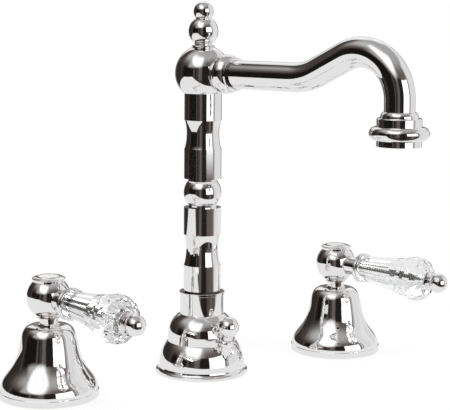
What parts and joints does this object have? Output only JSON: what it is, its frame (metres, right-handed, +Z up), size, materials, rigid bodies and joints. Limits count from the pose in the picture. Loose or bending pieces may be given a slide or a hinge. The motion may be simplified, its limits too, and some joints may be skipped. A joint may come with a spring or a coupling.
{
  "type": "deck-mounted basin mixer tap",
  "caption": "Chrome basin mixer tap with a tall swivel spout, a pop-up lift knob and separate hot and cold quarter-turn valves with cut-crystal levers.",
  "frame": {"origin": "centre of the spout's seat on the deck's top face", "axes": "+Z up, +X from the spout towards the cold valve along the line of the holes, -Y towards the user"},
  "size_m": [0.255, 0.1782, 0.3038],
  "materials": {
    "chrome": "bright polished chrome plate on brass",
    "brass": "machined bare brass",
    "steel": "zinc-plated steel",
    "black rubber": "black sealing rubber",
    "black plastic": "black low-friction plastic",
    "white ceramic": "lapped white ceramic",
    "white enamel": "glossy white enamel",
    "clear crystal": "clear cut crystal, flat polished facets"
  },
  "bodies": {
    "deck_fixed": {"spout_escutcheon": "chrome", "swivel_housing": "chrome", "slip_ring": "black plastic", "spout_gasket": "black rubber", "spout_clamp_washer": "steel", "spout_backnut": "brass", "inlet_tee": "brass", "rod_guide": "chrome", "hot_bell": "chrome", "hot_valve_body": "brass", "hot_flange_nut": "brass", "hot_gasket": "black rubber", "hot_clamp_washer": "steel", "hot_backnut": "brass", "hot_headwork": "brass", "hot_fixed_disc": "white ceramic", "hot_bonnet_sleeve": "chrome", "cold_bell": "chrome", "cold_valve_body": "brass", "cold_flange_nut": "brass", "cold_gasket": "black rubber", "cold_clamp_washer": "steel", "cold_backnut": "brass", "cold_headwork": "brass", "cold_fixed_disc": "white ceramic", "cold_bonnet_sleeve": "chrome"},
    "spout": {"swivel_spigot": "brass", "lower_o_ring": "black rubber", "upper_o_ring": "black rubber", "column_lower": "chrome", "column_ball": "chrome", "column_upper": "chrome", "spout_head": "chrome", "finial": "chrome", "union_collar": "chrome", "spout_tube": "chrome", "outlet_ring": "chrome", "aerator_housing": "chrome", "aerator_insert": "black plastic"},
    "lift": {"lift_knob": "chrome", "lift_rod": "chrome"},
    "hot_handle": {"hot_spindle": "brass", "hot_moving_disc": "white ceramic", "hot_hub": "chrome", "hot_index_ring": "chrome", "hot_index_disc": "white enamel", "hot_lever_collar": "chrome", "hot_crystal": "clear crystal", "hot_tie_rod": "steel", "hot_end_ball": "chrome"},
    "cold_handle": {"cold_spindle": "brass", "cold_moving_disc": "white ceramic", "cold_hub": "chrome", "cold_index_ring": "chrome", "cold_index_disc": "white enamel", "cold_lever_collar": "chrome", "cold_crystal": "clear crystal", "cold_tie_rod": "steel", "cold_end_ball": "chrome"}
  },
  "joints": [
    {"name": "spout_swivel", "type": "hinge", "parent": "deck_fixed", "child": "spout", "pos_m": [0, 0, 0.045], "axis": [0, 0, 1], "continuous": true},
    {"name": "hot_turn", "type": "hinge", "parent": "deck_fixed", "child": "hot_handle", "pos_m": [-0.1, 0, 0.056], "axis": [0, 0, 1], "range_deg": [-90, 0]},
    {"name": "cold_turn", "type": "hinge", "parent": "deck_fixed", "child": "cold_handle", "pos_m": [0.1, 0, 0.056], "axis": [0, 0, 1], "range_deg": [0, 90]},
    {"name": "lift_pull", "type": "slide", "parent": "deck_fixed", "child": "lift", "axis": [0.0181, -0.2071, 0.9781], "range_m": [0, 0.012]}
  ]
}
